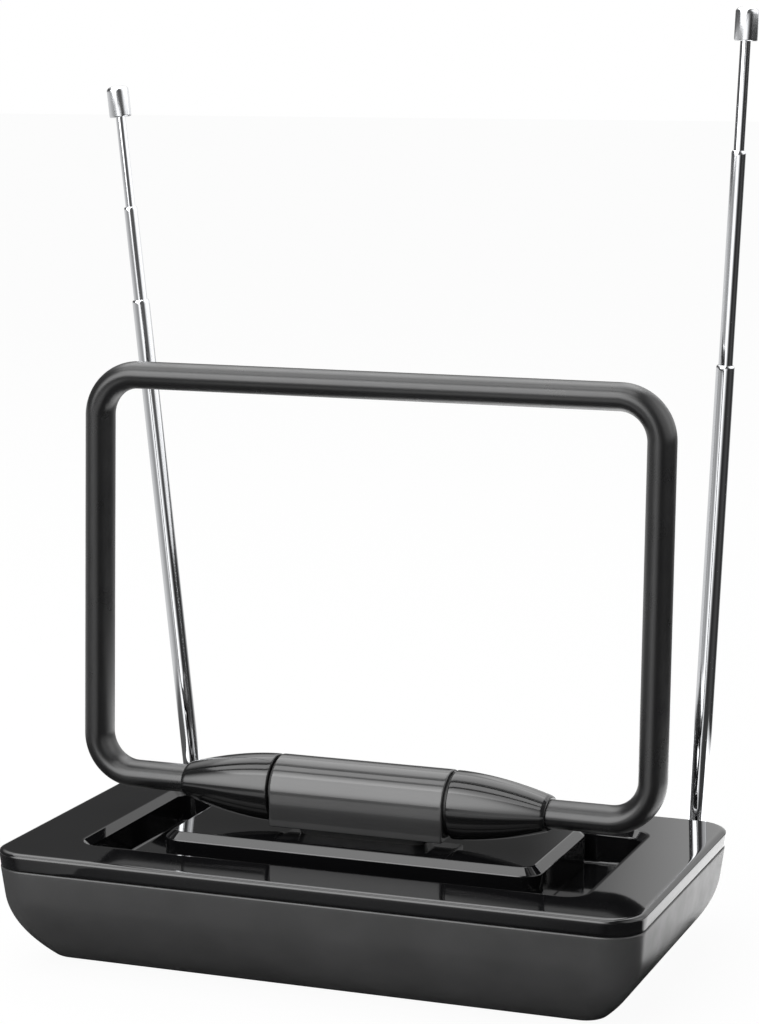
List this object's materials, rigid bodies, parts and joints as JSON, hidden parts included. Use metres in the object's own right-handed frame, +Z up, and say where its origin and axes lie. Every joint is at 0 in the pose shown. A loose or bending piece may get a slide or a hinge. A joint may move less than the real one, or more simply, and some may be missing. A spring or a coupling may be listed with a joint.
{
  "type": "indoor television antenna",
  "caption": "Table-top indoor television antenna: a low weighted base with a gloss cover, a tilting rectangular loop on a spindle, and telescopic rods behind it.",
  "frame": {"origin": "on the table, under the middle of the base", "axes": "+X to the right seen from the front, +Y to the back, where the rods stand, +Z up"},
  "size_m": [0.2373, 0.1405, 0.3133],
  "materials": {
    "casing": "satin dark grey moulding",
    "cover": "high gloss black moulding",
    "housing": "semi-gloss dark grey moulding",
    "loop": "semi-gloss black coating on aluminium tube",
    "chrome": "bright plated brass tube",
    "steel": "zinc plated",
    "brass": "turned",
    "bush": "moulded nylon, natural sheen",
    "rubber": "matte",
    "board": "coated laminate",
    "ferrite": "fired, dull",
    "ballast": "plain plate"
  },
  "bodies": {
    "base": {"lower_casing": "casing", "top_cover": "cover", "loop_platform": "cover", "spindle_housing": "housing", "left_bush": "bush", "right_bush": "bush", "casing_screws": "steel", "platform_screws": "steel", "housing_screws": "steel", "rubber_feet": "rubber", "circuit_board": "board", "balun_core": "ferrite", "board_screws": "steel", "ballast_plate": "ballast", "ballast_screws": "steel", "cable_gland": "rubber", "left_rod_fork": "casing", "right_rod_fork": "casing", "left_pivot_screw": "steel", "right_pivot_screw": "steel", "left_pivot_nut": "steel", "right_pivot_nut": "steel"},
    "loop": {"spindle": "steel", "left_cone": "housing", "right_cone": "housing", "loop_tube": "loop", "cone_screws": "steel"},
    "left_rod": {"left_rod_knuckle": "chrome", "left_outer_tube": "chrome"},
    "left_middle": {"left_middle_tube": "chrome", "left_middle_guide": "brass"},
    "left_tip": {"left_inner_rod": "chrome", "left_inner_guide": "brass", "left_tip_cap": "chrome"},
    "right_rod": {"right_rod_knuckle": "chrome", "right_outer_tube": "chrome"},
    "right_middle": {"right_middle_tube": "chrome", "right_middle_guide": "brass"},
    "right_tip": {"right_inner_rod": "chrome", "right_inner_guide": "brass", "right_tip_cap": "chrome"}
  },
  "joints": [
    {"name": "loop_tilt", "type": "hinge", "parent": "base", "child": "loop", "pos_m": [0, -0.002, 0.0537], "axis": [1, 0, 0], "range_deg": [-18.5, 91.5]},
    {"name": "left_rod_tilt", "type": "hinge", "parent": "base", "child": "left_rod", "pos_m": [-0.0945, 0.0713, 0.027], "axis": [0, -1, 0], "range_deg": [-16.5, 83.5]},
    {"name": "left_middle_slide", "type": "slide", "parent": "left_rod", "child": "left_middle", "axis": [-0.1132, 0, 0.9936], "range_m": [-0.032, 0.0914]},
    {"name": "left_inner_slide", "type": "slide", "parent": "left_middle", "child": "left_tip", "axis": [-0.1132, 0, 0.9936], "range_m": [-0.0317, 0.0828]},
    {"name": "right_rod_tilt", "type": "hinge", "parent": "base", "child": "right_rod", "pos_m": [0.0945, 0.0713, 0.027], "axis": [0, 1, 0], "range_deg": [-12.2, 87.8]},
    {"name": "right_middle_slide", "type": "slide", "parent": "right_rod", "child": "right_middle", "axis": [0.0384, 0, 0.9993], "range_m": [-0.0702, 0.0532]},
    {"name": "right_inner_slide", "type": "slide", "parent": "right_middle", "child": "right_tip", "axis": [0.0384, 0, 0.9993], "range_m": [-0.0355, 0.079]}
  ]
}
